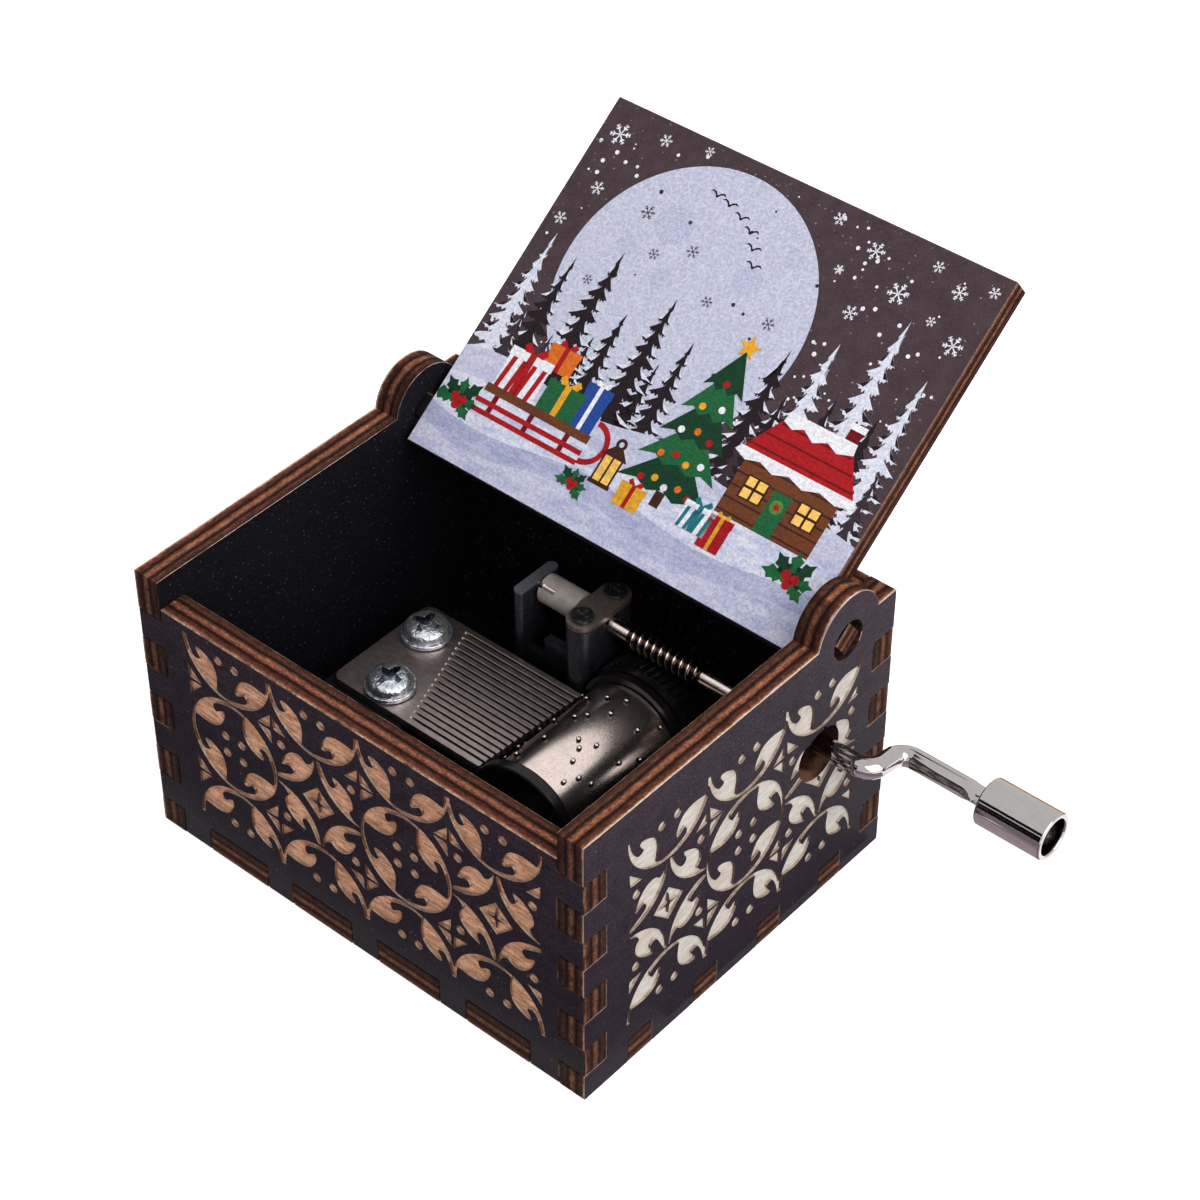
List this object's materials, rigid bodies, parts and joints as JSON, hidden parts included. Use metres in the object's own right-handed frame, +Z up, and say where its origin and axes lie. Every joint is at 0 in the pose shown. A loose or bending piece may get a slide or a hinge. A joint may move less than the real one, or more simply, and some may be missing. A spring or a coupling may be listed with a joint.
{
  "type": "hand crank music box",
  "caption": "Small finger-jointed plywood case with engraved sides and an open hinged lid, holding a comb-and-cylinder movement turned by a bent crank at the right.",
  "frame": {"origin": "middle of the case's underside, on the face that rests on the table", "axes": "+Z up, +X towards the crank, -Y towards the long front wall, the lid hinges along X near +Y"},
  "size_m": [0.0902, 0.0776, 0.0631],
  "materials": {
    "engraved_plywood": "near-black matt stain outside and in, laser-cut dark brown edges that show the plies, engraved scroll-and-leaf ornament in tan and cream",
    "printed_plywood": "matt print of a winter night on the inner side, dark stain outside, dark brown ply edges",
    "black_casting": "black matt casting with a fine grain",
    "comb_steel": "ground steel, grey with a warm tint",
    "dark_steel": "dull dark steel",
    "bright_zinc": "bright zinc plating",
    "nickel_plate": "satin nickel plating",
    "black_plastic": "moulded black plastic, half matt",
    "grey_plastic": "moulded light grey plastic",
    "crank_chrome": "polished plating"
  },
  "bodies": {
    "case": {"front_wall": "engraved_plywood", "back_wall": "engraved_plywood", "left_wall": "engraved_plywood", "right_wall": "engraved_plywood", "bottom_panel": "engraved_plywood", "movement_frame": "black_casting", "comb": "comb_steel", "comb_screw_front": "bright_zinc", "comb_screw_back": "bright_zinc", "bearing_strap": "dark_steel", "strap_screw_front": "dark_steel", "strap_screw_back": "dark_steel", "base_screw_1": "bright_zinc", "base_screw_2": "bright_zinc", "base_screw_3": "bright_zinc"},
    "lid": {"lid": "printed_plywood"},
    "crank": {"worm_shaft": "nickel_plate", "spacer_sleeve": "grey_plastic", "crank_handle": "crank_chrome"},
    "knob": {"crank_knob": "crank_chrome"},
    "cylinder": {"pinned_cylinder": "nickel_plate", "cylinder_front_cap": "black_plastic", "worm_wheel": "black_plastic", "cylinder_arbor": "dark_steel"}
  },
  "joints": [
    {"name": "lid_hinge", "type": "hinge", "parent": "case", "child": "lid", "pos_m": [0, 0.0172, 0.03645], "axis": [1, 0, 0], "range_deg": [0, 143.8]},
    {"name": "crank_turn", "type": "hinge", "parent": "case", "child": "crank", "pos_m": [0, 0.01475, 0.02229], "axis": [1, 0, 0], "continuous": true},
    {"name": "knob_turn", "type": "hinge", "parent": "crank", "child": "knob", "pos_m": [0.0537, 0.02064, 0.02107], "axis": [1, 0, 0], "continuous": true},
    {"name": "cylinder_turn", "type": "hinge", "parent": "case", "child": "cylinder", "pos_m": [0.0085, 0, 0.0134], "axis": [0, 1, 0], "continuous": true}
  ],
  "couplings": [
    {"joint": "cylinder_turn", "follows": "crank_turn", "ratio": -0.020833}
  ]
}
